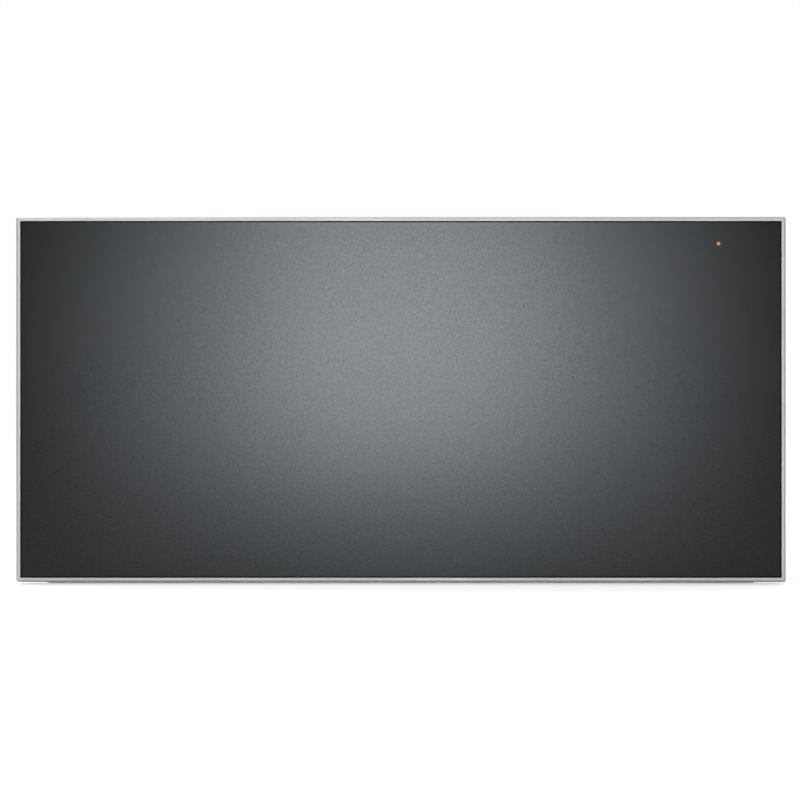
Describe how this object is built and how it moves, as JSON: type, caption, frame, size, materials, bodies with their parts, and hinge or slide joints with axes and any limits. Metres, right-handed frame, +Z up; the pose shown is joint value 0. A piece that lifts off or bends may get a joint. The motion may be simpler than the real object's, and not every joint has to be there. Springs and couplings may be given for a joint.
{
  "type": "warming drawer",
  "caption": "Flush push-to-open warming drawer: dark glass front in a slim metal frame, heated glass floor, fan, steel tub on full-extension ball slides in a sheet casing",
  "frame": {"origin": "middle of the footprint, on the plane of the shelf it stands on", "axes": "+Z up; the glass front faces -Y; X is the width, and x = 0 is the mid-plane of casing and drawer"},
  "size_m": [0.59, 0.54, 0.282],
  "materials": {
    "rim_metal": "satin anodised, with a brighter bevel",
    "front_glass": "clear over an anthracite metallic back print",
    "seal_black": "silicone, matt",
    "casing_steel": "galvanised sheet",
    "tub_steel": "stainless, fine linear brush",
    "slide_steel": "bright zinc plated",
    "cage_steel": "yellow zinc, with polished balls",
    "fastener": "zinc plated",
    "insulation": "mineral wool mat",
    "black_plastic": "fine grain",
    "console_gloss": "smooth, dark",
    "grey_plastic": "satin",
    "white_plastic": "plain",
    "circuit_board": "green lacquer with parts",
    "lamp_amber": "lit amber light guide",
    "plate_glass": "black glass ceramic, gloss",
    "heater_tube": "oxidised sheathed tube",
    "contact_brass": "plated pins"
  },
  "bodies": {
    "casing": {"casing_shell": "casing_steel", "casing_top": "casing_steel", "casing_back": "casing_steel", "casing_screws": "fastener", "left_cabinet_rail": "slide_steel", "right_cabinet_rail": "slide_steel", "rail_rivets": "fastener", "latch_housing": "black_plastic", "latch_screws": "fastener", "power_inlet": "black_plastic", "inlet_pins": "contact_brass", "inlet_cover": "black_plastic"},
    "latch": {"latch_plunger": "white_plastic", "latch_spring": "fastener"},
    "drawer": {"left_drawer_rail": "slide_steel", "right_drawer_rail": "slide_steel", "rail_screws": "fastener", "frame_top": "rim_metal", "frame_bottom": "rim_metal", "frame_left": "rim_metal", "frame_right": "rim_metal", "corner_keys": "casing_steel", "glass_pane": "front_glass", "glass_seal": "seal_black", "front_pan": "tub_steel", "front_insulation": "insulation", "indicator_lens": "lamp_amber", "indicator_board": "circuit_board", "front_screws": "fastener", "drawer_tub": "tub_steel", "left_side_panel": "casing_steel", "right_side_panel": "casing_steel", "side_insulation": "insulation", "drawer_base": "casing_steel", "floor_insulation": "insulation", "heater_tray": "casing_steel", "heating_element": "heater_tube", "heating_plate": "plate_glass", "plate_seal": "seal_black", "plate_sensor": "white_plastic", "drawer_back": "casing_steel", "fan_housing": "casing_steel", "fan_motor": "black_plastic", "ring_heater": "heater_tube", "drawer_connector": "black_plastic", "strike_plate": "casing_steel", "console_body": "black_plastic", "console_fascia": "console_gloss", "control_board": "circuit_board", "selector_switch": "black_plastic"},
    "left_middle": {"left_middle_rail": "slide_steel"},
    "right_middle": {"right_middle_rail": "slide_steel"},
    "left_outer_balls": {"left_outer_cage": "cage_steel"},
    "right_outer_balls": {"right_outer_cage": "cage_steel"},
    "left_inner_balls": {"left_inner_cage": "cage_steel"},
    "right_inner_balls": {"right_inner_cage": "cage_steel"},
    "knob": {"switch_spindle": "fastener", "selector_knob": "console_gloss"},
    "button": {"power_button": "grey_plastic"},
    "fan": {"fan_impeller": "casing_steel"}
  },
  "joints": [
    {"name": "front_press", "type": "slide", "parent": "casing", "child": "latch", "axis": [0, -1, 0], "range_m": [-0.004, 0], "stiffness_N_per_m": 3750},
    {"name": "drawer_slide", "type": "slide", "parent": "latch", "child": "drawer", "axis": [0, -1, 0], "range_m": [0, 0.44]},
    {"name": "left_middle_slide", "type": "slide", "parent": "casing", "child": "left_middle", "axis": [0, -1, 0], "range_m": [0, 0.22]},
    {"name": "right_middle_slide", "type": "slide", "parent": "casing", "child": "right_middle", "axis": [0, -1, 0], "range_m": [0, 0.22]},
    {"name": "left_outer_balls_roll", "type": "slide", "parent": "casing", "child": "left_outer_balls", "axis": [0, -1, 0], "range_m": [0, 0.11]},
    {"name": "right_outer_balls_roll", "type": "slide", "parent": "casing", "child": "right_outer_balls", "axis": [0, -1, 0], "range_m": [0, 0.11]},
    {"name": "left_inner_balls_roll", "type": "slide", "parent": "casing", "child": "left_inner_balls", "axis": [0, -1, 0], "range_m": [0, 0.33]},
    {"name": "right_inner_balls_roll", "type": "slide", "parent": "casing", "child": "right_inner_balls", "axis": [0, -1, 0], "range_m": [0, 0.33]},
    {"name": "knob_turn", "type": "hinge", "parent": "drawer", "child": "knob", "pos_m": [0.1608, -0.23375, 0.2603], "axis": [0, 0, 1], "range_deg": [-240, 0]},
    {"name": "button_press", "type": "slide", "parent": "drawer", "child": "button", "axis": [0, 0, -1], "range_m": [0, 0.0012], "stiffness_N_per_m": 2500},
    {"name": "fan_spin", "type": "hinge", "parent": "drawer", "child": "fan", "pos_m": [0, 0.2308, 0.16], "axis": [0, -1, 0], "continuous": true}
  ],
  "couplings": [
    {"joint": "left_middle_slide", "follows": "drawer_slide", "ratio": 0.5},
    {"joint": "right_middle_slide", "follows": "drawer_slide", "ratio": 0.5},
    {"joint": "left_outer_balls_roll", "follows": "drawer_slide", "ratio": 0.25},
    {"joint": "right_outer_balls_roll", "follows": "drawer_slide", "ratio": 0.25},
    {"joint": "left_inner_balls_roll", "follows": "drawer_slide", "ratio": 0.75},
    {"joint": "right_inner_balls_roll", "follows": "drawer_slide", "ratio": 0.75}
  ]
}
